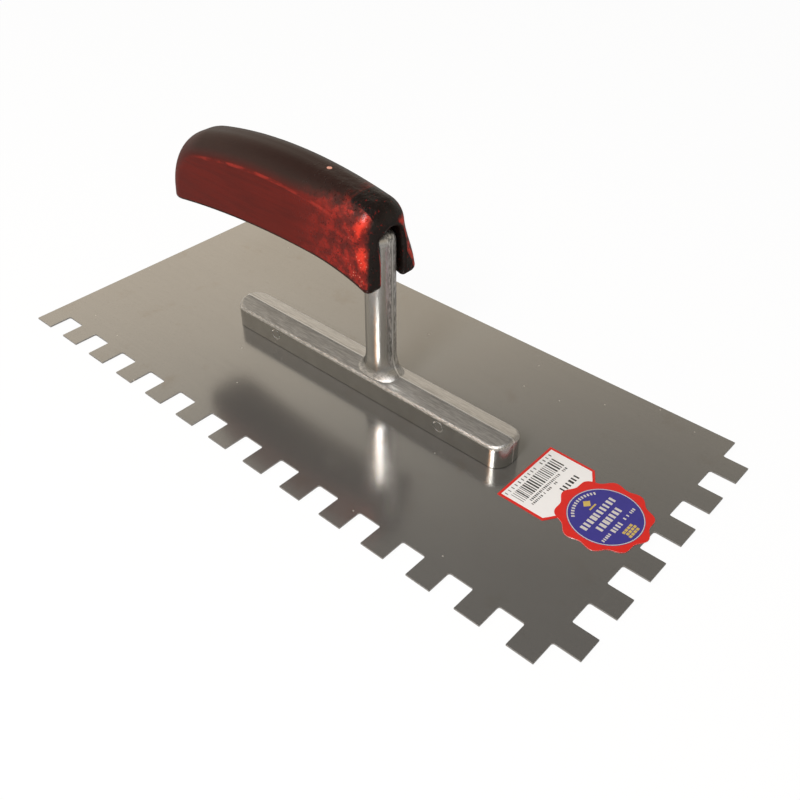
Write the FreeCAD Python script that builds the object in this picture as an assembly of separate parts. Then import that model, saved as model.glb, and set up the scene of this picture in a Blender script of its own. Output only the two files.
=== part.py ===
import FreeCAD, Part

import math
import os

from FreeCAD import Vector

# Notched trowel for spreading tile adhesive: a square-notched steel blade on a
# die-cast aluminium mount (bar, post and tang in one casting), with a lacquered
# beech handle driven onto the tang.
#
# Frame: origin in the middle of the blade's underside. +X runs along the blade
# to the short notched edge, +Y to the plain long edge, +Z up. Millimetres.

# ------------------------------------------------------------------ blade
BLADE_LENGTH = 280.0
BLADE_WIDTH = 130.0
BLADE_THICKNESS = 0.7
NOTCH = 10.0                      # square notches, as wide as the teeth between them
NOTCH_PITCH = 2 * NOTCH
NOTCH_CORNER = 0.9                # radius the punch leaves in the inner corners

# ------------------------------------------------------------------ mount: bar
BAR_LENGTH = 146.1
BAR_CENTRE_X = 1.35
BAR_WIDTH = 15.4
BAR_EDGE_Z = 10.5                 # where the sides would meet the roof
BAR_RIDGE_Z = 12.1                # on the parting line
BAR_END_RADIUS = 6.2
BAR_SHOULDER_RADIUS = 1.7
BAR_RIDGE_RADIUS = 3.0
PARTING_WIDTH = 0.7
PARTING_PROUD = 0.16
PARTING_BACK_Z = 52.0             # where it ends behind the post, below the handle
PARTING_FRONT_Z = 71.0            # where it ends inside the handle's slot
EJECTOR_RADIUS = 2.4              # rings left by the ejector pins
EJECTOR_GROOVE = 0.45
EJECTOR_DEPTH = 0.3
EJECTOR_Z = 6.3
EJECTOR_OFFSETS = (-46.1, 43.8)   # along X from the bar's centre

# ------------------------------------------------------------------ mount: post and tang
POST_X = 9.4
POST_SIZE_X = 12.3
POST_SIZE_Y = 11.6
POST_TOP_Z = 73.4
POST_TOP_RADIUS = 4.8
FLARE_FOOT_Z = 10.8               # the post widens into the bar from FLARE_TOP_Z down
FLARE_TOP_Z = 20.5
FLARE_X = 7.0
FLARE_Y = 1.2
FLARE_SECTIONS = 8
TANG_Z = 66.6
TANG_TIP_X = -64.0
TANG_ROOT_SIZE = 8.4
TANG_TIP_SIZE = 6.4
TANG_CORNER = 1.2

# ------------------------------------------------------------------ handle
HANDLE_HEEL_X = -100.4
HANDLE_NOSE_X = 16.2
HANDLE_HALF_LOW = 13.3            # half the width at the nose's lower lip
HANDLE_LIP_Z = 54.0
SIDE_LEAN = 0.085                 # the sides lean inwards from there, per millimetre of height
UNDERSIDE_TOP_X = -32.0           # where the hollow underside is highest
UNDERSIDE_TOP_Z = 59.4
UNDERSIDE_RADIUS = 430.0
THROAT_X = -16.0                  # from here the underside turns down to the nose
THROAT_RADIUS = 90.0
CREST_TOP_X = -38.3               # where the back is highest
CREST_TOP_Z = 89.5
CREST_RADIUS = 206.0
HEEL_RADIUS = 27.0                # heel rounding seen from the side
CROWN_RADIUS = 9.6                # rounding of the back
LOWER_EDGE_RADIUS = 1.4           # at the heel
LOWER_NOSE_RADIUS = 4.2           # at the nose
NOSE_LOW_RADIUS = 2.5             # the nose is rounded more towards its top
NOSE_HIGH_RADIUS = 9.8
NOSE_LOW_Z = 57.0
NOSE_HIGH_Z = 75.0
SLOT_WIDTH = 12.0
SLOT_END_X = 2.2
SLOT_TOP_Z = 75.6
SLOT_EDGE_RADIUS = 1.2

# ------------------------------------------------------------------ fasteners
RIVET_COUNT = 6
RIVET_PITCH = 24.0
RIVET_RADIUS = 2.0
RIVET_HEAD_RADIUS = 3.3
RIVET_TOP_Z = 7.5
SCREW_X = -22.0
SCREW_RADIUS = 1.9
SCREW_HEAD_RADIUS = 3.8
SCREW_HEAD_HEIGHT = 2.4
SCREW_HEAD_Z = 59.6
SCREW_TIP_Z = 69.5
RECESS_SPAN = 4.4
RECESS_WIDTH = 0.9
RECESS_DEPTH = 1.5

# ------------------------------------------------------------------ label
LABEL_THICKNESS = 0.15
TAG_X0 = 80.0
TAG_X1 = 99.2
TAG_TIP_X = 102.5
TAG_Y0 = -16.4
TAG_Y1 = 16.5
TAG_CLIP = 4.8
SEAL_CENTRE = (113.7, -0.3)
SEAL_RADIUS = 16.3
SEAL_WAVE = 0.8
SEAL_WAVES = 10

NOSE_ALLOWANCE = 20.0             # length of handle blank sawn off at the nose
TOP = BLADE_THICKNESS             # upper face of the blade
FAR = 400.0                       # longer than anything here


def box(x0, x1, y0, y1, z0, z1):
    return Part.makeBox(x1 - x0, y1 - y0, z1 - z0, Vector(x0, y0, z0))


def polygon_prism(points, direction):
    """Extrudes a closed outline of straight sides."""
    wire = Part.makePolygon([Vector(*p) for p in points + points[:1]])
    return Part.Face(wire).extrude(Vector(*direction))


# ------------------------------------------------------------------ blade
def notch(x0, x1, y0, y1, sharp_sides):
    """A square notch; the corners that lie inside the blade are rounded."""
    z0, z1 = -1.0, BLADE_THICKNESS + 1.0
    cutter = box(x0, x1, y0, y1, z0, z1)
    inner = []
    for edge in cutter.Edges:
        low, high = edge.BoundBox.ZMin, edge.BoundBox.ZMax
        upright = high - low > BLADE_THICKNESS
        if upright and not sharp_sides(edge.BoundBox.Center):
            inner.append(edge)
    return cutter.makeFillet(NOTCH_CORNER, inner)


def make_blade():
    half_x, half_y = BLADE_LENGTH / 2, BLADE_WIDTH / 2
    over = 2.0
    cutters = []
    for k in range(int(BLADE_LENGTH / NOTCH_PITCH)):
        x0 = -half_x + NOTCH + k * NOTCH_PITCH
        corner = x0 + NOTCH > half_x - 0.1
        x1 = x0 + NOTCH + (over if corner else 0.0)
        cutters.append(notch(x0, x1, -half_y - over, -half_y + NOTCH,
                             lambda c: c.y < -half_y or c.x > half_x))
    for k in range(int(BLADE_WIDTH / NOTCH_PITCH)):
        y0 = -half_y + 2 * NOTCH + k * NOTCH_PITCH
        corner = y0 + NOTCH > half_y - 0.1
        y1 = y0 + NOTCH + (over if corner else 0.0)
        cutters.append(notch(half_x - NOTCH, half_x + over, y0, y1,
                             lambda c: c.x > half_x or c.y > half_y))
    plate = box(-half_x, half_x, -half_y, half_y, 0, BLADE_THICKNESS)
    return plate.cut(cutters)


# ------------------------------------------------------------------ mount
def bar_plan():
    """The bar's outline from above, extruded past the ridge."""
    half = BAR_LENGTH / 2
    prism = box(BAR_CENTRE_X - half, BAR_CENTRE_X + half,
                -BAR_WIDTH / 2, BAR_WIDTH / 2, TOP, BAR_RIDGE_Z + 2)
    upright = [e for e in prism.Edges if e.BoundBox.ZLength > BAR_RIDGE_Z]
    return prism.makeFillet(BAR_END_RADIUS, upright)


def make_bar():
    """Straight sides under a shallow roof, with the shoulders rounded all round."""
    half = BAR_WIDTH / 2
    roof = polygon_prism([(-FAR / 2, -half, 0), (-FAR / 2, half, 0),
                          (-FAR / 2, half, BAR_EDGE_Z), (-FAR / 2, 0, BAR_RIDGE_Z),
                          (-FAR / 2, -half, BAR_EDGE_Z)], (FAR, 0, 0))
    ridge = [e for e in roof.Edges if e.BoundBox.ZMin > BAR_RIDGE_Z - 0.01]
    bar = bar_plan().common(roof.makeFillet(BAR_RIDGE_RADIUS, ridge))
    return bar.makeFillet(BAR_SHOULDER_RADIUS, shoulder_edges(bar))


def shoulder_edges(bar):
    """The loop where the upright sides meet the roof."""
    found = []
    for edge in bar.Edges:
        if edge.BoundBox.ZMin < BAR_EDGE_Z - 1:
            continue
        middle = edge.valueAt((edge.FirstParameter + edge.LastParameter) / 2)
        tilt = []
        for face in bar.Faces:
            if any(edge.isSame(other) for other in face.Edges):
                u, v = face.Surface.parameter(middle)
                tilt.append(abs(face.normalAt(u, v).z))
        if min(tilt) < 0.01 and max(tilt) > 0.5:
            found.append(edge)
    return found


def post_section(z, size_x, size_y):
    ellipse = Part.Ellipse(Vector(POST_X, 0, z), size_x / 2, size_y / 2)
    return Part.Wire(ellipse.toShape())


def make_post():
    """An oval post with a domed top that widens into the bar at its foot."""
    sections = [post_section(TOP + 2, POST_SIZE_X + 2 * FLARE_X, POST_SIZE_Y + 2 * FLARE_Y)]
    for k in range(FLARE_SECTIONS + 1):
        up = math.sin(k / FLARE_SECTIONS * math.pi / 2)
        inward = 1 - math.cos(k / FLARE_SECTIONS * math.pi / 2)
        z = FLARE_FOOT_Z + (FLARE_TOP_Z - FLARE_FOOT_Z) * inward
        sections.append(post_section(z, POST_SIZE_X + 2 * FLARE_X * (1 - up),
                                     POST_SIZE_Y + 2 * FLARE_Y * (1 - up)))
    crown = post_section(POST_TOP_Z, POST_SIZE_X, POST_SIZE_Y)
    walls = [Part.makeLoft(sections[:2], False, True), Part.makeLoft(sections[1:], False, False),
             Part.makeLoft([sections[-1], crown], False, True)]
    skin = Part.Shell([face for wall in walls for face in wall.Faces]
                      + [Part.Face(sections[0]), Part.Face(crown)])
    skin.sewShape()
    post = Part.Solid(skin.Shells[0])
    rim = [e for e in post.Edges if e.BoundBox.ZMin > POST_TOP_Z - 0.01]
    return post.makeFillet(POST_TOP_RADIUS, rim)


def square_section(x, size):
    """A square across the tang with rounded corners."""
    half = size / 2
    square = Part.makePolygon([Vector(x, a * half, TANG_Z + b * half)
                               for a, b in ((-1, -1), (1, -1), (1, 1), (-1, 1), (-1, -1))])
    bar = Part.Face(square).extrude(Vector(1, 0, 0))
    along = [e for e in bar.Edges if e.BoundBox.XLength > 0.9]
    rounded = bar.makeFillet(TANG_CORNER, along)
    return min(rounded.Faces, key=lambda f: f.CenterOfMass.x).OuterWire


def make_tang():
    """A tapered square spike that runs back from the post into the handle."""
    root = square_section(POST_X, TANG_ROOT_SIZE)
    tip = square_section(TANG_TIP_X, TANG_TIP_SIZE)
    return Part.makeLoft([root, tip], True, True)


def make_parting_line():
    """The thin raised line along the bar's ridge and up the post's two ends."""
    half = PARTING_WIDTH / 2
    bar_half = BAR_LENGTH / 2 - BAR_SHOULDER_RADIUS - 0.5
    post_half = POST_SIZE_X / 2 + PARTING_PROUD
    root_z = FLARE_FOOT_Z - 1
    ridge = box(BAR_CENTRE_X - bar_half, BAR_CENTRE_X + bar_half,
                -half, half, root_z, BAR_RIDGE_Z + PARTING_PROUD)
    post = box(POST_X - post_half, POST_X + post_half, -half, half, root_z, PARTING_BACK_Z)
    front = box(POST_X, POST_X + post_half, -half, half, root_z, PARTING_FRONT_Z)
    reach = POST_SIZE_X / 2 + FLARE_X
    flare = box(POST_X - reach, POST_X + reach, -half, half, root_z, FLARE_TOP_Z)
    hollows = [flare_hollow(POST_X + side * reach) for side in (-1, 1)]
    return flare.cut(hollows).fuse([ridge, post, front]).removeSplitter()


def flare_hollow(x):
    """The oval left out beside the post, drawn in by the height of the parting line."""
    tall = FLARE_TOP_Z - FLARE_FOOT_Z - PARTING_PROUD
    wide = FLARE_X - PARTING_PROUD
    oval = Part.Ellipse(Vector(x, -1, FLARE_TOP_Z + tall), Vector(x + wide, -1, FLARE_TOP_Z),
                        Vector(x, -1, FLARE_TOP_Z))
    return Part.Face(Part.Wire(oval.toShape())).extrude(Vector(0, 2, 0))


def ejector_ring(x):
    """A shallow ring pressed into the bar's near side."""
    face_y = -BAR_WIDTH / 2
    centre = Vector(x, face_y - 1, EJECTOR_Z)
    depth = 1 + EJECTOR_DEPTH
    outer = Part.makeCylinder(EJECTOR_RADIUS, depth, centre, Vector(0, 1, 0))
    inner = Part.makeCylinder(EJECTOR_RADIUS - EJECTOR_GROOVE, depth, centre, Vector(0, 1, 0))
    return outer.cut(inner)


def make_mount(rivets, screw):
    casting = make_bar().fuse(make_post()).fuse(make_tang()).removeSplitter().Solids[0]
    casting = casting.fuse(make_parting_line())
    rings = [ejector_ring(BAR_CENTRE_X + offset) for offset in EJECTOR_OFFSETS]
    return casting.cut(rings + rivets + [screw])


# ------------------------------------------------------------------ handle
def arch_point(x, top_x, top_z, radius):
    return Vector(x, 0, top_z - radius + math.sqrt(radius ** 2 - (x - top_x) ** 2))


def under_point(x):
    return arch_point(x, UNDERSIDE_TOP_X, UNDERSIDE_TOP_Z, UNDERSIDE_RADIUS)


def throat_point(x):
    """On the arc that carries on smoothly from the underside at the throat."""
    start = under_point(THROAT_X)
    lean = (THROAT_X - UNDERSIDE_TOP_X) / UNDERSIDE_RADIUS
    centre_x = start.x - THROAT_RADIUS * lean
    centre_z = start.z - THROAT_RADIUS * math.sqrt(1 - lean ** 2)
    return Vector(x, 0, centre_z + math.sqrt(THROAT_RADIUS ** 2 - (x - centre_x) ** 2))


def crest_point(x):
    return arch_point(x, CREST_TOP_X, CREST_TOP_Z, CREST_RADIUS)


def arc_along(point_at, start, end):
    return Part.Arc(point_at(start), point_at((start + end) / 2), point_at(end)).toShape()


def make_handle_slab():
    """The handle's side view as a slab: a hollow underside below an arched back."""
    heel, beyond = HANDLE_HEEL_X, HANDLE_NOSE_X + NOSE_ALLOWANCE
    outline = Part.Wire([
        arc_along(under_point, heel, THROAT_X),
        arc_along(throat_point, THROAT_X, beyond),
        Part.makeLine(throat_point(beyond), crest_point(beyond)),
        arc_along(crest_point, beyond, heel),
        Part.makeLine(crest_point(heel), under_point(heel)),
    ])
    slab = Part.Face(outline).extrude(Vector(0, FAR, 0))
    slab.translate(Vector(0, -FAR / 2, 0))
    return slab.common(leaning_sides()).Solids[0]


def leaning_sides():
    """The room between the handle's sides, which lean towards each other going up."""
    low = HANDLE_HALF_LOW + SIDE_LEAN * HANDLE_LIP_Z
    high = HANDLE_HALF_LOW - SIDE_LEAN * HANDLE_LIP_Z
    return polygon_prism([(-FAR / 2, -low, 0), (-FAR / 2, low, 0),
                          (-FAR / 2, high, 2 * HANDLE_LIP_Z), (-FAR / 2, -high, 2 * HANDLE_LIP_Z)],
                         (FAR, 0, 0))


def edges_where(shape, test):
    return [edge for edge in shape.Edges if test(edge.BoundBox)]


def graded_fillet(body, edges, radius_at):
    """Rounds edges with a radius that depends on the place along them."""
    radii = []
    for number, edge in enumerate(body.Edges, 1):
        if any(edge.isSame(wanted) for wanted in edges):
            start = edge.valueAt(edge.FirstParameter)
            end = edge.valueAt(edge.LastParameter)
            radii.append((number, radius_at(start), radius_at(end)))
    document = FreeCAD.newDocument("graded_fillet")
    base = document.addObject("Part::Feature", "base")
    base.Shape = body
    rounded = document.addObject("Part::Fillet", "rounded")
    rounded.Base = base
    rounded.Edges = radii
    document.recompute()
    return rounded.Shape.Solids[0]


def graded(value, start, end, first, last):
    """Goes evenly from first to last as value goes from start to end."""
    share = min(1.0, max(0.0, (value - start) / (end - start)))
    return first + (last - first) * share


def lower_radius(point):
    return graded(point.x, THROAT_X, HANDLE_NOSE_X, LOWER_EDGE_RADIUS, LOWER_NOSE_RADIUS)


def nose_radius(point):
    return graded(point.z, NOSE_LOW_Z, NOSE_HIGH_Z, NOSE_LOW_RADIUS, NOSE_HIGH_RADIUS)


def make_handle_body():
    """The slab with its heel, back, lower edges and nose rounded in that order."""
    blank_end = HANDLE_NOSE_X + NOSE_ALLOWANCE
    body = make_handle_slab()
    heel = edges_where(body, lambda b: b.XMax < HANDLE_HEEL_X + 1 and b.ZMin > UNDERSIDE_TOP_Z)
    body = body.makeFillet(HEEL_RADIUS, heel)
    back = edges_where(body, lambda b: b.YMin * b.YMax > 1 and b.XMin < blank_end - 1
                       and (b.ZMax > UNDERSIDE_TOP_Z + 1 or b.XMax < HANDLE_HEEL_X + 1))
    body = body.makeFillet(CROWN_RADIUS, back)
    lower = edges_where(body, lambda b: b.ZMax < UNDERSIDE_TOP_Z + 1 and b.XMin < blank_end - 1
                        and not (b.XMin > THROAT_X - 1 and b.XLength < 1))
    body = graded_fillet(body, lower, lower_radius)
    body = body.common(box(-FAR, HANDLE_NOSE_X, -FAR, FAR, 0, FAR)).Solids[0]
    nose = edges_where(body, lambda b: b.XMin > HANDLE_NOSE_X - 0.01)
    return graded_fillet(body, nose, nose_radius)


def make_slot():
    """The open-ended slot that lets the nose straddle the post."""
    radius = SLOT_WIDTH / 2
    vault_z = SLOT_TOP_Z - radius
    length = HANDLE_NOSE_X + 5 - SLOT_END_X
    walls = box(SLOT_END_X, SLOT_END_X + length, -radius, radius, TOP, vault_z)
    vault = Part.makeCylinder(radius, length, Vector(SLOT_END_X, 0, vault_z), Vector(1, 0, 0))
    return walls.fuse(vault).removeSplitter()


def make_handle(tang, screw):
    body = make_handle_body().cut(make_slot())
    mouth = edges_where(body, lambda b: b.ZMax < UNDERSIDE_TOP_Z + 1 and b.XMin > SLOT_END_X - 1
                        and b.XLength > 5 and abs(abs(b.Center.y) - SLOT_WIDTH / 2) < 0.1)
    body = body.makeFillet(SLOT_EDGE_RADIUS, mouth)
    access = Part.makeCylinder(SCREW_HEAD_RADIUS, SCREW_HEAD_Z, Vector(SCREW_X, 0, 0))
    return body.cut([tang, screw, access])


# ------------------------------------------------------------------ fasteners
def make_rivets():
    """Steel studs set in the bar's underside and headed flush in the blade."""
    rivets = []
    for k in range(RIVET_COUNT):
        x = BAR_CENTRE_X + (k - (RIVET_COUNT - 1) / 2) * RIVET_PITCH
        head = Part.makeCone(RIVET_HEAD_RADIUS, RIVET_RADIUS, BLADE_THICKNESS, Vector(x, 0, 0))
        shank = Part.makeCylinder(RIVET_RADIUS, RIVET_TOP_Z - TOP, Vector(x, 0, TOP))
        rivets.append(head.fuse(shank).removeSplitter())
    return rivets


def make_screw():
    """A countersunk screw from the handle's underside through the tang."""
    head = Part.makeCone(SCREW_HEAD_RADIUS, SCREW_RADIUS, SCREW_HEAD_HEIGHT,
                         Vector(SCREW_X, 0, SCREW_HEAD_Z))
    shank = Part.makeCylinder(SCREW_RADIUS, SCREW_TIP_Z - SCREW_HEAD_Z,
                              Vector(SCREW_X, 0, SCREW_HEAD_Z))
    return head.fuse(shank).removeSplitter()


def make_recess():
    half, width = RECESS_SPAN / 2, RECESS_WIDTH / 2
    z0, z1 = SCREW_HEAD_Z - 1, SCREW_HEAD_Z + RECESS_DEPTH
    one = box(SCREW_X - half, SCREW_X + half, -width, width, z0, z1)
    other = box(SCREW_X - width, SCREW_X + width, -half, half, z0, z1)
    return one.fuse(other)


# ------------------------------------------------------------------ label
def make_label():
    """One paper sticker: a tag with clipped corners that runs into a scalloped seal."""
    tag = polygon_prism([(TAG_X0, TAG_Y0, TOP), (TAG_X1, TAG_Y0, TOP),
                         (TAG_TIP_X, TAG_Y0 + TAG_CLIP, TOP),
                         (TAG_TIP_X, TAG_Y1 - TAG_CLIP, TOP), (TAG_X1, TAG_Y1, TOP),
                         (TAG_X0, TAG_Y1, TOP)], (0, 0, LABEL_THICKNESS))
    points = []
    steps = 8 * SEAL_WAVES
    for k in range(steps):
        angle = 2 * math.pi * k / steps
        radius = SEAL_RADIUS + SEAL_WAVE * math.cos(SEAL_WAVES * angle)
        points.append(Vector(SEAL_CENTRE[0] + radius * math.cos(angle),
                             SEAL_CENTRE[1] + radius * math.sin(angle), TOP))
    rim = Part.BSplineCurve()
    rim.interpolate(Points=points, PeriodicFlag=True)
    seal = Part.Face(Part.Wire(rim.toShape())).extrude(Vector(0, 0, LABEL_THICKNESS))
    return tag.fuse(seal).removeSplitter()


# ------------------------------------------------------------------ assembly
def save(name, solids):
    Part.makeCompound(solids).exportStep(os.path.join("parts", name + ".step"))


def main():
    os.makedirs("parts", exist_ok=True)
    rivets = make_rivets()
    screw = make_screw()
    tang = make_tang()
    save("blade", make_blade().cut(rivets).Solids)
    save("mount_casting", make_mount(rivets, screw).Solids)
    save("handle", make_handle(tang, screw).Solids)
    save("blade_rivets", [rivet.Solids[0] for rivet in rivets])
    save("handle_screw", screw.cut(make_recess()).Solids)
    save("label", make_label().Solids)


main()
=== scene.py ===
import math
from collections import namedtuple

import bmesh
import bpy
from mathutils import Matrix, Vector


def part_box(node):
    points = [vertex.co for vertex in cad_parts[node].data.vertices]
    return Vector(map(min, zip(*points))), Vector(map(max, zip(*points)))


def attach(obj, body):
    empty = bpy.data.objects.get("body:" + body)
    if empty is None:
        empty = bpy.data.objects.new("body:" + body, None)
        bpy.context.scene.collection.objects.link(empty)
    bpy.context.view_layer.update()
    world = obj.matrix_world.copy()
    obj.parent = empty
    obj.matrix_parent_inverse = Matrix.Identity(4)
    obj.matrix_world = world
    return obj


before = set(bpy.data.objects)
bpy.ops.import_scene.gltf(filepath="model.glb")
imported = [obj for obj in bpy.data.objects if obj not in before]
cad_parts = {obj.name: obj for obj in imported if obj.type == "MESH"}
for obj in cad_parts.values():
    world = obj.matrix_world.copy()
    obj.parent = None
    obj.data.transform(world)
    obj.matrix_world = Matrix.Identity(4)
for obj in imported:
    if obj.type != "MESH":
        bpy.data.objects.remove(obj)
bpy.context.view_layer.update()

# Notched trowel. +X runs to the short notched edge, +Y to the plain long edge. Lengths on
# the object and the camera's places are in millimetres; lamps and the floor are in metres.

MM = 0.001


def box_mm(node):
    """A CAD node's lowest and highest corners, in millimetres."""
    low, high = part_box(node)
    return low / MM, high / MM


# ------------------------------------------------------------------ places from the frame
BLADE_TOP = box_mm("blade")[1].z
BAR_SIDE = box_mm("mount_casting")[1].y
HEEL_X, NOSE_X = (corner.x for corner in box_mm("handle"))
LABEL_LOW, LABEL_HIGH = box_mm("label")

# ------------------------------------------------------------------ camera
CAMERA_PLACE = (205.3, -207.0, 226.3)
CAMERA_AIM = (18.9, 0.4, 0.0)
LENS = 40.56                      # millimetres
SENSOR = 36.0                     # millimetres wide

# ------------------------------------------------------------------ room
# The room is brighter and warmer near the horizon than overhead.
ROOM = [                          # elevation in degrees, linear colour
    (0, (0.90, 0.86, 0.80)),
    (24, (0.86, 0.74, 0.59)),
    (33, (0.70, 0.62, 0.51)),
    (41, (0.33, 0.31, 0.27)),
    (49, (0.13, 0.125, 0.115)),
    (90, (0.10, 0.10, 0.10)),
]
NOSE_SIDE_STRENGTH = 0.60         # the room beyond the nose, against 1 beyond the heel
FLOOR_SIZE = 4.0                  # metres
FLOOR_DROP = 0.0004               # metres below the blade, so that the two don't touch
FLOOR_GREY = 0.45
FLOOR_GLOW = 1.08                 # lifts the floor to near white for the camera only
GLOW_SHARE = 0.88                 # the rest is grey paper that takes shadows

# ------------------------------------------------------------------ marks on the casting
POST_ROOT_Z = 15.0                # where the bar gives way to the post
EJECTOR_RINGS_X = (-44.75, 45.15)
EJECTOR_Z = 6.3                   # on the bar's near side
EJECTOR_RADII = (1.95, 2.40)
PARTING_HALF = 0.50               # half the width of the parting line
TRENCH_Y = (-3.4, 0.2)            # the darker strip along the roof

# ------------------------------------------------------------------ marks on the handle
SLOT_MOUTH = 7.3                  # half the slot's width with its rounded lip
CREST_HIGHLIGHT_PLACE = (-15.0, 0.5, 88.2)   # painted highlight: a small pale spot on the lacquer's crest
CREST_HIGHLIGHT_RADIUS = 1.2

# ------------------------------------------------------------------ label layout
PRINT = 0.03                      # thickness of one layer of ink
TAG_NEAR_X = LABEL_LOW.x
TAG_FAR_X = 102.5
TAG_Y = (-16.4, LABEL_HIGH.y)
TAG_CLIP = (3.3, 4.8)             # each clipped corner, along X and Y
TAG_BORDER = 1.0
SEAL_RADIUS = 16.3
SEAL_WAVE = 0.8
SEAL_WAVES = 10
SEAL_INSET = 0.02                 # keeps the ink inside the paper's edge
SEAL_CENTRE = (LABEL_HIGH.x - SEAL_RADIUS - SEAL_WAVE, -0.3)
DISC_CENTRE = (114.3, -0.4)
DISC_RADIUS = 13.4
RIM_INSET = 0.15
RIM_WIDTH = 0.3
CIRCLE_POINTS = 120

BARS_X = (84.0, 89.4)
BARS_START_Y = -13.6
BARS_LAST_Y = 11.4                # no bar starts beyond this
BAR_WIDTHS = (0.22, 0.60)         # the narrowest, and how much wider one can be
BAR_GAPS = (0.42, 0.40)           # the same for the gaps

# A line of print: its near X, its height along X, where it starts and ends along Y, the
# pitch of its marks, the share of the pitch that is inked, the share left out, a seed.
Line = namedtuple("Line", "x height start end pitch ink gaps seed")
TAG_LINES = [
    Line(81.8, 1.3, -14.4, 13.8, 1.90, 0.20, 0.10, 1),
    Line(90.2, 1.0, -13.0, 11.4, 0.90, 0.50, 0.15, 2),
    Line(91.8, 0.9, -12.4, 3.0, 0.90, 0.50, 0.20, 3),
    Line(94.9, 2.3, 0.2, 11.4, 1.75, 0.50, 0.00, 4),
]
DISC_LINES = [
    Line(110.4, 2.6, -10.6, 10.2, 2.00, 0.60, 0.00, 11),
    Line(114.6, 2.6, -7.4, 6.8, 2.00, 0.60, 0.00, 12),
    Line(118.9, 1.9, -5.0, 1.6, 1.50, 0.60, 0.00, 14),
    Line(119.2, 1.1, -11.0, -5.6, 1.00, 0.55, 0.00, 13),
    Line(119.2, 1.1, 2.6, 10.2, 1.00, 0.55, 0.20, 15),
]
ARC_RADII = (10.6, 11.8)          # a row of marks along an arc of the disc
ARC_MARKS = 13
ARC_PITCH = 0.115                 # radians
ARC_INK = 0.06                    # radians

LOZENGE_CENTRE = (106.2, 0.4)
LOZENGE_HALF = (1.6, 1.9)
EMBLEM_BAR = (108.3, 108.9, -1.5, 2.3)
TILE_ROWS, TILE_COLUMNS = 3, 4
TILE_PLACE = (122.4, -3.4)
TILE_PITCH = (1.3, 1.5)
TILE_SIZE = (1.0, 1.2)
TILE_SHIFT = 0.4                  # of every second row


# ------------------------------------------------------------------ node helpers
def add(tree, kind, inputs=None, **settings):
    """Adds a node; an input is given a value or another node's output."""
    node = tree.nodes.new(kind)
    for key, value in settings.items():
        setattr(node, key, value)
    for key, value in (inputs or {}).items():
        if isinstance(value, bpy.types.NodeSocket):
            tree.links.new(value, node.inputs[key])
        else:
            node.inputs[key].default_value = value
    return node


def calc(tree, operation, first, second=0.0):
    node = add(tree, "ShaderNodeMath", {0: first, 1: second}, operation=operation)
    return node.outputs[0]


def both(tree, first, second):
    """The product of two masks: 1 only where both are 1."""
    return calc(tree, "MULTIPLY", first, second)


def plus(tree, first, second):
    return calc(tree, "ADD", first, second)


def fade(tree, value, start, end):
    """0 before start, 1 after end, smooth between; start may be above end."""
    node = add(tree, "ShaderNodeMapRange", {"Value": value, "From Min": start, "From Max": end},
               interpolation_type="SMOOTHSTEP", clamp=True)
    return node.outputs["Result"]


def between(tree, value, start, end, soft):
    """1 between start and end, 0 outside."""
    rise = fade(tree, value, start - soft, start + soft)
    fall = fade(tree, value, end + soft, end - soft)
    return both(tree, rise, fall)


def level(tree, value, low, high):
    """Spreads a value from 0..1 to low..high."""
    node = add(tree, "ShaderNodeMapRange", {"Value": value, "To Min": low, "To Max": high})
    return node.outputs["Result"]


def up_to(tree, value, most):
    """Spreads a value from 0..1 to 0..most."""
    return level(tree, value, 0.0, most)


def blend(tree, factor, first, second):
    """Mixes two colours."""
    node = tree.nodes.new("ShaderNodeMix")
    node.data_type = "RGBA"
    for index, value in ((0, factor), (6, first), (7, second)):
        if isinstance(value, bpy.types.NodeSocket):
            tree.links.new(value, node.inputs[index])
        elif index == 0:
            node.inputs[index].default_value = value
        else:
            node.inputs[index].default_value = (*value, 1)
    return node.outputs[2]


def blend_values(tree, factor, first, second):
    node = add(tree, "ShaderNodeMix", {0: factor, 2: first, 3: second}, data_type="FLOAT")
    return node.outputs[0]


def place_mm(tree):
    """The point's place in the row frame, in millimetres."""
    where = add(tree, "ShaderNodeTexCoord").outputs["Object"]
    node = add(tree, "ShaderNodeVectorMath", {0: where, "Scale": 1 / MM}, operation="SCALE")
    return node.outputs[0]


def stretch(tree, vector, scale):
    node = add(tree, "ShaderNodeVectorMath", {0: vector, 1: scale}, operation="MULTIPLY")
    return node.outputs[0]


def distance(tree, vector, centre):
    node = add(tree, "ShaderNodeVectorMath", {0: vector, 1: centre}, operation="DISTANCE")
    return node.outputs["Value"]


def split(tree, vector):
    return add(tree, "ShaderNodeSeparateXYZ", {0: vector}).outputs


def noise(tree, vector, scale, detail=3.0, roughness=0.5):
    node = add(tree, "ShaderNodeTexNoise", {"Vector": vector, "Scale": scale, "Detail": detail,
                                            "Roughness": roughness})
    return node.outputs["Fac"]


def streaks(tree, vector, scale, detail=3.0, roughness=0.5):
    """Noise drawn out along the axes with the smaller scales."""
    return noise(tree, stretch(tree, vector, scale), 1.0, detail, roughness)


def specks(tree, vector, spacing, radius, share, space="3D"):
    """Scattered round dots: one in a share of the cells."""
    cells = add(tree, "ShaderNodeTexVoronoi", {"Vector": vector, "Scale": 1.0 / spacing},
                voronoi_dimensions=space)
    near = fade(tree, cells.outputs["Distance"], radius / spacing, 0.6 * radius / spacing)
    pick = calc(tree, "GREATER_THAN", split(tree, cells.outputs["Color"])[0], 1.0 - share)
    return both(tree, near, pick)


def bump(tree, height, distance_mm, strength=1.0):
    inputs = {"Height": height, "Distance": distance_mm * MM, "Strength": strength}
    return add(tree, "ShaderNodeBump", inputs).outputs[0]


def seen_in_a_mirror(tree):
    """1 where the blade shows the surface: there the colour is painted darker, which paints its
    reflection dim.
    """
    return add(tree, "ShaderNodeLightPath").outputs["Is Glossy Ray"]


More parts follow.
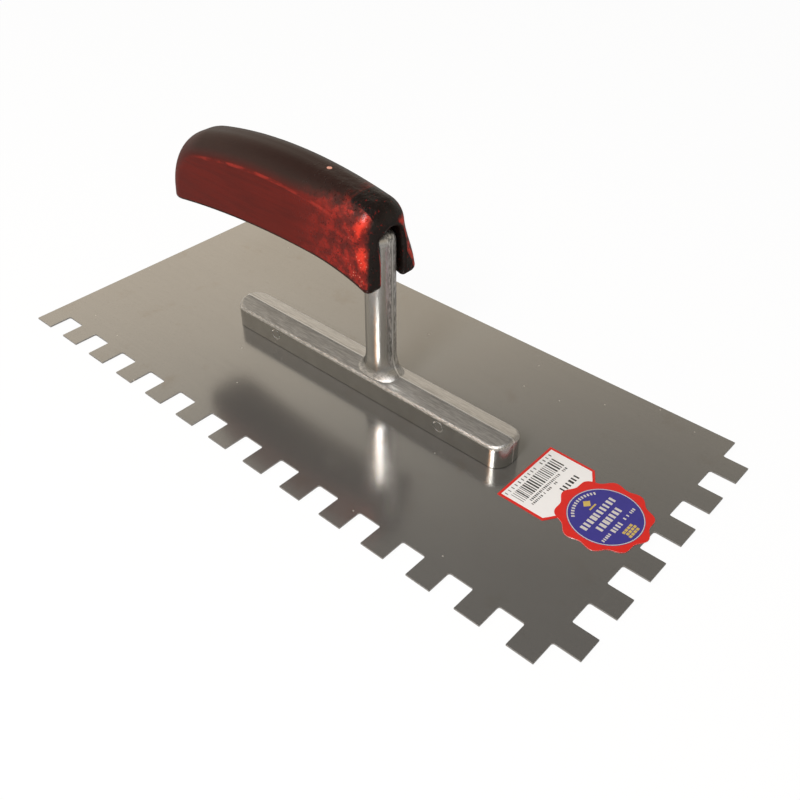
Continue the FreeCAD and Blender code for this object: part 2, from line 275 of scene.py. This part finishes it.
class Spot:
    """The point being shaded: its place in millimetres and the way its surface faces."""

    def __init__(self, tree):
        self.place = place_mm(tree)
        self.x, self.y, self.z = split(tree, self.place)
        normal = add(tree, "ShaderNodeNewGeometry").outputs["Normal"]
        self.facing_x, self.facing_y, self.facing_z = split(tree, normal)
        self.off_middle = calc(tree, "ABSOLUTE", self.y)


def surface(name, build):
    """A material whose Principled inputs come from build(tree)."""
    material = bpy.data.materials.new(name)
    material.use_nodes = True
    tree = material.node_tree
    tree.nodes.clear()
    shader = add(tree, "ShaderNodeBsdfPrincipled", build(tree))
    output = tree.nodes.new("ShaderNodeOutputMaterial")
    tree.links.new(shader.outputs[0], output.inputs[0])
    return material


# ------------------------------------------------------------------ steel blade
def blade_steel(tree):
    """Cold-rolled sheet: faint grain along the blade, cloudy gloss, dust and stains."""
    place = place_mm(tree)
    grain = streaks(tree, place, (0.04, 1.1, 1.0), 4.0, 0.6)
    cloud = streaks(tree, place, (0.02, 0.035, 1.0))
    pits = noise(tree, place, 1.1)
    stain = fade(tree, noise(tree, place, 0.045, 5.0, 0.65), 0.56, 0.75)
    scratches = fade(tree, streaks(tree, place, (0.9, 0.012, 1.0), 2.0), 0.68, 0.76)
    dust = specks(tree, place, 17.0, 0.34, 0.22, "2D")

    colour = blend(tree, grain, (0.50, 0.495, 0.48), (0.55, 0.54, 0.52))
    colour = blend(tree, up_to(tree, stain, 0.30), colour, (0.40, 0.33, 0.25))
    pitted = up_to(tree, fade(tree, pits, 0.60, 0.72), 0.35)
    colour = blend(tree, pitted, colour, (0.36, 0.35, 0.33))
    colour = blend(tree, dust, colour, (0.95, 0.93, 0.88))

    rough = plus(tree, level(tree, cloud, 0.13, 0.20), up_to(tree, scratches, 0.06))
    rough = plus(tree, rough, up_to(tree, dust, 0.4))
    relief = plus(tree, up_to(tree, grain, 0.5), up_to(tree, pits, 0.5))
    return {"Base Color": colour, "Metallic": 0.84, "Roughness": rough,
            "Normal": bump(tree, relief, 0.005)}


# ------------------------------------------------------------------ cast mount
def roof_wear_and_light(tree, spot, colour, facet, streak):
    """The bar's ground top: streaky, with painted light making the back paler, darker along a
    strip.
    """
    worn = blend(tree, fade(tree, streak, 0.36, 0.66), (0.44, 0.43, 0.41), (0.72, 0.71, 0.68))
    colour = blend(tree, facet, colour, worn)
    # painted light: the back of the roof is painted paler
    back = both(tree, facet, fade(tree, spot.y, 1.2, 3.6))
    colour = blend(tree, up_to(tree, back, 0.22), colour, (0.74, 0.73, 0.71))
    trench = both(tree, facet, between(tree, spot.y, *TRENCH_Y, 1.0))
    return blend(tree, up_to(tree, trench, 0.16), colour, (0.27, 0.26, 0.24))


def parting_line(tree, spot, colour):
    """A painted highlight along the parting line, with painted shade in a dark line on either
    side of it.
    """
    bright = fade(tree, spot.off_middle, PARTING_HALF, PARTING_HALF - 0.16)
    colour = blend(tree, bright, colour, (0.80, 0.80, 0.79))
    # painted shade at the foot of the parting line on either side
    beside = between(tree, spot.off_middle, PARTING_HALF - 0.05, PARTING_HALF + 0.25, 0.12)
    return blend(tree, up_to(tree, beside, 0.45), colour, (0.16, 0.16, 0.155))


def ejector_rings(tree, spot, colour, cloud):
    """Two thin bright rings on the bar's near side: painted highlights."""
    near_side = fade(tree, spot.y, 0.8 - BAR_SIDE, 0.3 - BAR_SIDE)
    flat = stretch(tree, spot.place, (1.0, 0.0, 1.0))
    for centre_x in EJECTOR_RINGS_X:
        away = distance(tree, flat, (centre_x, 0.0, EJECTOR_Z))
        ring = both(tree, between(tree, away, *EJECTOR_RADII, 0.15), near_side)
        lit = up_to(tree, both(tree, ring, fade(tree, cloud, 0.3, 0.6)), 0.85)
        colour = blend(tree, lit, colour, (0.95, 0.95, 0.94))
    return colour


def cast_aluminium(tree):
    """A tumbled casting: streaky ground roof, smooth sides, polished post."""
    spot = Spot(tree)
    on_bar = fade(tree, spot.z, POST_ROOT_Z, POST_ROOT_Z - 2.4)
    on_post = fade(tree, spot.z, POST_ROOT_Z, POST_ROOT_Z + 4.0)
    facet = both(tree, fade(tree, spot.facing_z, 0.80, 0.95), on_bar)
    shoulder = both(tree, between(tree, spot.facing_z, 0.12, 0.88, 0.10), on_bar)
    rough_cast = both(tree, on_post, fade(tree, spot.facing_y, -0.50, -0.22))

    streak = streaks(tree, spot.place, (0.16, 1.9, 0.8), 6.0, 0.74)
    fine = streaks(tree, spot.place, (0.5, 3.4, 2.0), 4.0, 0.65)
    cloud = noise(tree, stretch(tree, spot.place, (0.5, 0.8, 0.25)), 0.35, 4.0, 0.6)
    mottle = streaks(tree, spot.place, (1.3, 1.3, 0.28), 5.0, 0.7)
    grit = noise(tree, spot.place, 2.4)

    colour = blend(tree, cloud, (0.34, 0.34, 0.33), (0.46, 0.46, 0.45))
    colour = blend(tree, on_post, colour, (0.60, 0.60, 0.59))
    colour = roof_wear_and_light(tree, spot, colour, facet, streak)
    # scuffs along the shoulder, and painted sheen: the shoulder is painted lighter on the whole
    scuffs_and_sheen = blend(tree, fade(tree, fine, 0.38, 0.62), (0.38, 0.38, 0.37), (0.80, 0.79, 0.77))
    colour = blend(tree, up_to(tree, shoulder, 0.8), colour, scuffs_and_sheen)
    blotch = blend(tree, fade(tree, mottle, 0.40, 0.60), (0.30, 0.30, 0.30), (0.95, 0.95, 0.95))
    colour = blend(tree, up_to(tree, rough_cast, 0.9), colour, blotch)
    colour = parting_line(tree, spot, colour)
    colour = ejector_rings(tree, spot, colour, cloud)
    # painted shade: the casting is painted nearly black just above the blade, where it stands
    # on it
    painted_foot_shade = fade(tree, spot.z, BLADE_TOP + 0.65, BLADE_TOP + 0.05)
    colour = blend(tree, up_to(tree, painted_foot_shade, 0.8), colour, (0.05, 0.048, 0.045))
    # painted reflection: seen in the blade, the bar is painted darker, so its reflection is dim
    mirrored = both(tree, seen_in_a_mirror(tree), on_bar)
    colour = blend(tree, up_to(tree, mirrored, 0.6), colour, (0.10, 0.098, 0.090))

    rough = level(tree, cloud, 0.20, 0.30)
    rough = blend_values(tree, facet, rough, level(tree, streak, 0.30, 0.42))
    rough = blend_values(tree, shoulder, rough, level(tree, fine, 0.34, 0.52))
    rough = blend_values(tree, rough_cast, rough, level(tree, mottle, 0.30, 0.50))
    relief = both(tree, streak, up_to(tree, facet, 0.55))
    relief = plus(tree, relief, both(tree, fine, shoulder))
    relief = plus(tree, relief, both(tree, mottle, rough_cast))
    relief = plus(tree, relief, up_to(tree, grit, 0.12))
    return {"Base Color": colour, "Metallic": level(tree, facet, 1.0, 0.78),
            "Roughness": rough, "Normal": bump(tree, relief, 0.14, 0.8)}


# ------------------------------------------------------------------ lacquered handle
def lacquer_side(tree, spot, grain, cloud, lumps, nose):
    """The sides: plain and dark at the heel, lumpy at the nose, with painted light and painted
    glints there.
    """
    colour = blend(tree, cloud, (0.075, 0.007, 0.004), (0.150, 0.011, 0.007))
    pores = up_to(tree, fade(tree, grain, 0.4, 0.7), 0.4)
    colour = blend(tree, pores, colour, (0.06, 0.007, 0.005))
    # the lumps are the lacquer's own; painted light brightens them towards the nose
    lumps_and_nose_light = blend(tree, fade(tree, lumps, 0.36, 0.64), (0.10, 0.008, 0.006), (0.34, 0.017, 0.010))
    colour = blend(tree, both(tree, nose, level(tree, lumps, 0.5, 1.0)), colour, lumps_and_nose_light)
    # painted light: faces turned towards the nose's end are painted bright red
    turned = both(tree, fade(tree, spot.facing_x, -0.05, 0.40),
                  fade(tree, spot.x, NOSE_X - 24.2, NOSE_X - 9.2))
    painted_nose_glow = blend(tree, fade(tree, lumps, 0.38, 0.60), (0.17, 0.010, 0.007),
                  (0.80, 0.045, 0.022))
    colour = blend(tree, turned, colour, painted_nose_glow)
    # painted glints: small bright specks near the nose
    cheek = both(tree, fade(tree, lumps, 0.46, 0.60),
                 fade(tree, spot.x, NOSE_X - 14.2, NOSE_X - 8.2))
    painted_glints = both(tree, specks(tree, spot.place, 1.0, 0.26, 0.6), cheek)
    return blend(tree, up_to(tree, painted_glints, 0.85), colour, (0.95, 0.36, 0.26))


def lacquer_back(tree, spot, colour, cloud, lumps, nose):
    """Painted shade on the back, whose lower edge turns ragged at the nose."""
    ragged = up_to(tree, both(tree, lumps, nose), 0.9)
    rise = calc(tree, "SUBTRACT", spot.facing_z, ragged)
    firm, soft = fade(tree, rise, 0.16, 0.32), fade(tree, rise, 0.18, 0.62)
    crown = calc(tree, "MULTIPLY", plus(tree, firm, soft), 0.5)
    # painted shade: faces turning upwards are painted nearly black
    dark = blend(tree, cloud, (0.020, 0.010, 0.008), (0.032, 0.013, 0.010))
    return blend(tree, crown, colour, dark)


def heel_red_and_edge_highlight(tree, spot, colour, grain):
    """Red that shows again at the heel, and a painted highlight: a broken line under the back's
    edge.
    """
    heel = both(tree, fade(tree, spot.x, HEEL_X + 24.4, HEEL_X + 3.4),
                level(tree, grain, 0.2, 0.8))
    colour = blend(tree, heel, colour, (0.095, 0.011, 0.008))
    # painted highlight: a broken bright red line along the top of the sides
    edge = between(tree, spot.facing_z, 0.13, 0.21, 0.035)
    along = both(tree, fade(tree, spot.x, HEEL_X + 16.4, HEEL_X + 34.4),
                 fade(tree, spot.x, NOSE_X - 12.2, NOSE_X - 26.2))
    broken = fade(tree, streaks(tree, spot.place, (0.16, 0.5, 0.5)), 0.36, 0.60)
    edge = both(tree, both(tree, edge, along), broken)
    return blend(tree, up_to(tree, edge, 0.75), colour, (0.34, 0.028, 0.018))


def lacquer_nose(tree, spot, colour, lumps, ends, shade):
    """Nearly black painted shade on end faces and slot, red glints, and painted highlight on
    the far lobe.
    """
    # painted shade: end faces and slot painted nearly black, with small red painted glints
    flecks = fade(tree, noise(tree, spot.place, 0.7, 4.0, 0.7), 0.60, 0.72)
    painted_deep_shade = blend(tree, flecks, (0.010, 0.006, 0.005), (0.26, 0.013, 0.009))
    colour = blend(tree, shade, colour, painted_deep_shade)
    # painted highlight: a bright red line on the far lobe's rounded rim
    rim = both(tree, between(tree, spot.facing_y, 0.16, 0.60, 0.12), ends)
    rim = both(tree, rim, fade(tree, spot.facing_z, 0.40, 0.18))
    rim = both(tree, rim, fade(tree, lumps, 0.34, 0.54))
    return blend(tree, rim, colour, (0.95, 0.060, 0.035))


def red_lacquer(tree):
    """Translucent red lacquer on beech: painted shade darkens the back, painted light brightens
    the lumpy nose.
    """
    spot = Spot(tree)
    grain = streaks(tree, spot.place, (0.05, 1.2, 0.7), 5.0, 0.6)
    cloud = streaks(tree, spot.place, (0.04, 0.1, 0.12))
    lumps = noise(tree, spot.place, 0.24, 5.0, 0.60)
    bubbles = specks(tree, spot.place, 1.3, 0.45, 0.5)
    nose = fade(tree, spot.x, NOSE_X - 43.2, NOSE_X - 7.2)
    ends = both(tree, fade(tree, spot.facing_x, 0.42, 0.72),
                fade(tree, spot.x, NOSE_X - 8.2, NOSE_X - 4.2))
    inside = both(tree, fade(tree, spot.x, NOSE_X - 14.2, NOSE_X - 13.2),
                  fade(tree, spot.off_middle, SLOT_MOUTH, SLOT_MOUTH - 0.5))
    shade = calc(tree, "MAXIMUM", ends, inside)

    colour = lacquer_side(tree, spot, grain, cloud, lumps, nose)
    colour = lacquer_back(tree, spot, colour, cloud, lumps, nose)
    colour = heel_red_and_edge_highlight(tree, spot, colour, grain)
    colour = lacquer_nose(tree, spot, colour, lumps, ends, shade)
    # painted shade: faces that look down are painted nearly black
    under = fade(tree, spot.facing_z, -0.02, -0.22)
    colour = blend(tree, up_to(tree, under, 0.9), colour, (0.018, 0.007, 0.005))
    # painted highlight: a small pale pink spot on the crest
    crest_highlight = fade(tree, distance(tree, spot.place, CREST_HIGHLIGHT_PLACE), CREST_HIGHLIGHT_RADIUS, CREST_HIGHLIGHT_RADIUS - 0.5)
    colour = blend(tree, crest_highlight, colour, (0.85, 0.42, 0.32))
    # painted reflection: seen in the blade, the lacquer is painted dark grey, so its reflection
    # is dim
    mirrored = up_to(tree, seen_in_a_mirror(tree), 0.62)
    colour = blend(tree, mirrored, colour, (0.022, 0.020, 0.018))

    lumpy = calc(tree, "MAXIMUM", nose, shade)
    relief = up_to(tree, both(tree, lumps, lumpy), 2.2)
    relief = plus(tree, relief, up_to(tree, both(tree, bubbles, lumpy), 1.1))
    relief = plus(tree, relief, up_to(tree, grain, 0.10))
    return {"Base Color": colour, "Roughness": level(tree, cloud, 0.40, 0.50),
            "Specular IOR Level": 0.18, "Coat Weight": level(tree, lumpy, 0.06, 0.26),
            "Coat Roughness": 0.20, "Normal": bump(tree, relief, 0.5, 0.9)}


# ------------------------------------------------------------------ fasteners and paper
def turned_steel(tree):
    """Fastener heads: fine turning marks and slight tarnish."""
    place = place_mm(tree)
    fine = noise(tree, place, 2.2, 4.0, 0.6)
    cloud = noise(tree, place, 0.4)
    colour = blend(tree, cloud, (0.42, 0.41, 0.39), (0.62, 0.61, 0.59))
    return {"Base Color": colour, "Metallic": 1.0, "Roughness": level(tree, fine, 0.25, 0.45),
            "Normal": bump(tree, fine, 0.03)}


def print_on(low, high):
    """Glossy printed paper, slightly uneven in tone between two colours."""
    def build(tree):
        place = place_mm(tree)
        tone = noise(tree, place, 0.5)
        fibre = noise(tree, place, 3.0)
        return {"Base Color": blend(tree, tone, low, high),
                "Roughness": level(tree, fibre, 0.28, 0.42), "Coat Weight": 0.5,
                "Coat Roughness": 0.12, "Normal": bump(tree, fibre, 0.012)}
    return build


def label_paper(tree):
    """White paper whose cut edge has taken up the border's red."""
    face = print_on((0.95, 0.96, 0.97), (0.98, 0.99, 1.0))(tree)
    cut_edge = fade(tree, Spot(tree).facing_z, 0.6, 0.3)
    face["Base Color"] = blend(tree, cut_edge, face["Base Color"], (0.60, 0.020, 0.014))
    return face


# ------------------------------------------------------------------ mesh helpers
def add_prism(work, outline, low, high):
    """Adds a closed prism on an outline that runs anticlockwise."""
    bottom = [work.verts.new((x * MM, y * MM, low * MM)) for x, y in outline]
    top = [work.verts.new((x * MM, y * MM, high * MM)) for x, y in outline]
    count = len(outline)
    work.faces.new(list(reversed(bottom)))
    work.faces.new(top)
    for k in range(count):
        n = (k + 1) % count
        work.faces.new((bottom[k], bottom[n], top[n], top[k]))


def add_band(work, outer, inner, low, high):
    """Adds a closed band between two outlines with the same number of points."""
    loops = []
    for outline, z in ((outer, low), (outer, high), (inner, high), (inner, low)):
        loops.append([work.verts.new((x * MM, y * MM, z * MM)) for x, y in outline])
    count = len(outer)
    for k in range(count):
        n = (k + 1) % count
        for a in range(4):
            one, other = loops[a], loops[(a + 1) % 4]
            work.faces.new((one[k], one[n], other[n], other[k]))


def printed(name, material, low, outlines=(), band=None):
    """One layer of ink made of prisms, or of a band between two outlines."""
    work = bmesh.new()
    for outline in outlines:
        add_prism(work, outline, low, low + PRINT)
    if band is not None:
        add_band(work, *band, low, low + PRINT)
    mesh = bpy.data.meshes.new(name)
    work.to_mesh(mesh)
    work.free()
    mesh.materials.append(material)
    piece = bpy.data.objects.new(name, mesh)
    bpy.context.collection.objects.link(piece)
    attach(piece, "root")


def at_angle(centre, radius, angle):
    return (centre[0] + radius * math.cos(angle), centre[1] + radius * math.sin(angle))


def circle(centre, radius):
    turn = 2 * math.pi / CIRCLE_POINTS
    return [at_angle(centre, radius, turn * k) for k in range(CIRCLE_POINTS)]


def block(x0, x1, y0, y1):
    return [(x0, y0), (x1, y0), (x1, y1), (x0, y1)]


def inset_outline(outline, amount):
    """Moves every side of a convex outline inwards by the same amount."""
    result = []
    count = len(outline)
    for k in range(count):
        before, here, after = (Vector(outline[(k + d) % count]) for d in (-1, 0, 1))
        one, two = (here - before).normalized(), (after - here).normalized()
        normal_one, normal_two = Vector((-one.y, one.x)), Vector((-two.y, two.x))
        middle = (normal_one + normal_two).normalized()
        result.append(tuple(here + middle * (amount / middle.dot(normal_one))))
    return result


def rhythm(k, seed):
    """A repeatable value from 0 to 1 that looks irregular."""
    value = math.sin(12.9898 * k + 78.233 * seed) * 43758.5453
    return value - math.floor(value)


# ------------------------------------------------------------------ label
def tag_outline():
    """A rectangle whose two corners under the seal are clipped."""
    shoulder_x = TAG_FAR_X - TAG_CLIP[0]
    low_y, high_y = TAG_Y
    return [(TAG_NEAR_X, low_y), (shoulder_x, low_y), (TAG_FAR_X, low_y + TAG_CLIP[1]),
            (TAG_FAR_X, high_y - TAG_CLIP[1]), (shoulder_x, high_y), (TAG_NEAR_X, high_y)]


def seal_outline():
    points = []
    count = 24 * SEAL_WAVES
    for k in range(count):
        angle = 2 * math.pi * k / count
        radius = SEAL_RADIUS - SEAL_INSET + SEAL_WAVE * math.cos(SEAL_WAVES * angle)
        points.append(at_angle(SEAL_CENTRE, radius, angle))
    return points


def bar_code():
    """Bars of irregular width that stand for no number."""
    bars = []
    y, k = BARS_START_Y, 0
    while y < BARS_LAST_Y:
        wide = BAR_WIDTHS[0] + BAR_WIDTHS[1] * rhythm(k, 5) ** 2
        bars.append(block(*BARS_X, y, y + wide))
        y += wide + BAR_GAPS[0] + BAR_GAPS[1] * rhythm(k, 6)
        k += 1
    return bars


def marks_for(lines):
    """Rows of plain blocks along Y, as tall as the lettering they stand for."""
    marks = []
    for line in lines:
        y, k = line.start, 0
        while y + line.pitch * 0.7 < line.end:
            if rhythm(k, line.seed) > line.gaps:
                wide = line.pitch * line.ink * (0.75 + 0.5 * rhythm(k, line.seed + 1))
                marks.append(block(line.x, line.x + line.height, y, y + wide))
            y += line.pitch
            k += 1
    return marks


def arc_marks():
    """Marks along an arc, on the disc's side nearest the tag."""
    marks = []
    near, far = ARC_RADII
    for k in range(ARC_MARKS):
        start = math.pi + (k - ARC_MARKS // 2) * ARC_PITCH
        end = start + ARC_INK
        corners = [(near, start), (far, start), (far, end), (near, end)]
        marks.append([at_angle(DISC_CENTRE, radius, angle) for radius, angle in corners])
    return marks


def emblem():
    """A plain lozenge over a bar on one side and a stack of tiles on the other."""
    (x, y), (half_x, half_y) = LOZENGE_CENTRE, LOZENGE_HALF
    shapes = [[(x - half_x, y), (x, y - half_y), (x + half_x, y), (x, y + half_y)],
              block(*EMBLEM_BAR)]
    for row in range(TILE_ROWS):
        for column in range(TILE_COLUMNS):
            x = TILE_PLACE[0] + TILE_PITCH[0] * row
            y = TILE_PLACE[1] + TILE_PITCH[1] * column + TILE_SHIFT * (row % 2)
            shapes.append(block(x, x + TILE_SIZE[0], y, y + TILE_SIZE[1]))
    return shapes


def make_label():
    """The tag's print, then the seal, its disc and the disc's print, each a layer higher."""
    red = surface("label_red_ink", print_on((0.70, 0.016, 0.012), (0.80, 0.028, 0.018)))
    blue = surface("label_blue_ink", print_on((0.040, 0.036, 0.26), (0.055, 0.048, 0.33)))
    black = surface("label_black_ink", print_on((0.02, 0.02, 0.02), (0.05, 0.05, 0.05)))
    pale = surface("label_pale_ink", print_on((0.62, 0.60, 0.58), (0.74, 0.72, 0.70)))
    gold = surface("label_gold_ink", print_on((0.60, 0.44, 0.10), (0.72, 0.54, 0.16)))

    paper_top = LABEL_HIGH.z
    tag = tag_outline()
    printed("label_tag_border", red, paper_top, band=(tag, inset_outline(tag, TAG_BORDER)))
    printed("label_bar_code", black, paper_top, bar_code())
    printed("label_small_print", black, paper_top, marks_for(TAG_LINES))

    seal_low = paper_top + PRINT
    disc_low = seal_low + PRINT
    mark_low = disc_low + PRINT
    rim = DISC_RADIUS - RIM_INSET
    printed("label_seal", red, seal_low, [seal_outline()])
    printed("label_disc", blue, disc_low, [circle(DISC_CENTRE, DISC_RADIUS)])
    printed("label_disc_rim", pale, mark_low,
            band=(circle(DISC_CENTRE, rim), circle(DISC_CENTRE, rim - RIM_WIDTH)))
    printed("label_disc_print", pale, mark_low, marks_for(DISC_LINES) + arc_marks())
    printed("label_emblem", gold, mark_low, emblem())


# ------------------------------------------------------------------ dressing the CAD nodes
def dress(node, material):
    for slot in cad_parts[node].material_slots:
        slot.material = material


def dress_all():
    steel = surface("turned_steel", turned_steel)
    dress("blade", surface("blade_steel", blade_steel))
    dress("mount_casting", surface("cast_aluminium", cast_aluminium))
    dress("handle", surface("red_lacquer", red_lacquer))
    dress("blade_rivets", steel)
    dress("handle_screw", steel)
    dress("label", surface("label_paper", label_paper))


# ------------------------------------------------------------------ studio
def camera_sees(tree, shown, otherwise):
    """Shows one shader to the camera and another to every other ray."""
    seen = add(tree, "ShaderNodeLightPath").outputs["Is Camera Ray"]
    mix = add(tree, "ShaderNodeMixShader", {0: seen, 1: otherwise, 2: shown})
    return mix.outputs[0]


def make_world():
    """Plain white to the camera; a soft room to everything else."""
    world = bpy.data.worlds.new("studio")
    bpy.context.scene.world = world
    world.use_nodes = True
    tree = world.node_tree
    tree.nodes.clear()
    direction = add(tree, "ShaderNodeTexCoord").outputs["Generated"]
    toward_nose, _, up = split(tree, direction)
    ramp = tree.nodes.new("ShaderNodeValToRGB")
    tree.links.new(up, ramp.inputs[0])
    stops = ramp.color_ramp.elements
    while len(stops) < len(ROOM):
        stops.new(1.0)
    for stop, (elevation, colour) in zip(stops, ROOM):
        stop.position = math.sin(math.radians(elevation))
        stop.color = (*colour, 1)
    strength = level(tree, fade(tree, toward_nose, -0.22, -0.62), NOSE_SIDE_STRENGTH, 1.0)
    room = add(tree, "ShaderNodeBackground", {"Color": ramp.outputs[0], "Strength": strength})
    white = add(tree, "ShaderNodeBackground", {"Color": (1, 1, 1, 1), "Strength": 1.0})
    output = tree.nodes.new("ShaderNodeOutputWorld")
    tree.links.new(camera_sees(tree, white.outputs[0], room.outputs[0]), output.inputs[0])


def make_floor():
    bpy.ops.mesh.primitive_plane_add(size=FLOOR_SIZE, location=(0, 0, -FLOOR_DROP))
    floor = bpy.context.object
    floor.name = "floor"
    material = bpy.data.materials.new("pale_floor")
    material.use_nodes = True
    tree = material.node_tree
    tree.nodes.clear()
    grey = (FLOOR_GREY, FLOOR_GREY, FLOOR_GREY, 1)
    paper = add(tree, "ShaderNodeBsdfDiffuse", {"Color": grey}).outputs[0]
    glow = add(tree, "ShaderNodeEmission", {"Color": (1, 1, 1, 1), "Strength": FLOOR_GLOW})
    lifted = add(tree, "ShaderNodeMixShader", {0: GLOW_SHARE, 1: paper, 2: glow.outputs[0]})
    output = tree.nodes.new("ShaderNodeOutputMaterial")
    tree.links.new(camera_sees(tree, lifted.outputs[0], paper), output.inputs[0])
    floor.data.materials.append(material)


def soft_light(name, azimuth, elevation, away, size, power, colour=(1, 1, 1), mirrored=True):
    """A rectangular lamp that faces the origin; mirrored says if polished faces show it."""
    light = bpy.data.lights.new(name, "AREA")
    light.shape = "RECTANGLE"
    light.size, light.size_y = size
    light.energy = power
    light.color = colour
    lamp = bpy.data.objects.new(name, light)
    bpy.context.collection.objects.link(lamp)
    turn, lift = math.radians(azimuth), math.radians(elevation)
    lamp.location = Vector((math.cos(turn) * math.cos(lift), math.sin(turn) * math.cos(lift),
                            math.sin(lift))) * away
    lamp.rotation_euler = lamp.location.to_track_quat("Z", "Y").to_euler()
    lamp.visible_camera = False
    lamp.visible_glossy = mirrored


def make_lights():
    """A window and a warm card that the metal mirrors, and a fill that it doesn't."""
    soft_light("window", azimuth=-76, elevation=48, away=0.9, size=(0.16, 0.44), power=5.0)
    soft_light("warm_card", azimuth=-92, elevation=43, away=0.9, size=(0.05, 0.40), power=0.7,
               colour=(1.0, 0.48, 0.20))
    soft_light("fill", azimuth=-140, elevation=40, away=1.2, size=(0.9, 0.6), power=3.5,
               colour=(1.0, 0.98, 0.95), mirrored=False)


def make_camera():
    camera = bpy.data.objects.new("camera", bpy.data.cameras.new("camera"))
    bpy.context.collection.objects.link(camera)
    camera.data.lens = LENS
    camera.data.sensor_width = SENSOR
    camera.data.clip_start = 0.01
    camera.location = Vector(CAMERA_PLACE) * MM
    toward = Vector(CAMERA_AIM) * MM - camera.location
    camera.rotation_euler = toward.to_track_quat("-Z", "Y").to_euler()
    bpy.context.scene.camera = camera


dress_all()
make_label()
make_world()
make_floor()
make_lights()
make_camera()
bpy.context.scene.view_settings.view_transform = "Standard"
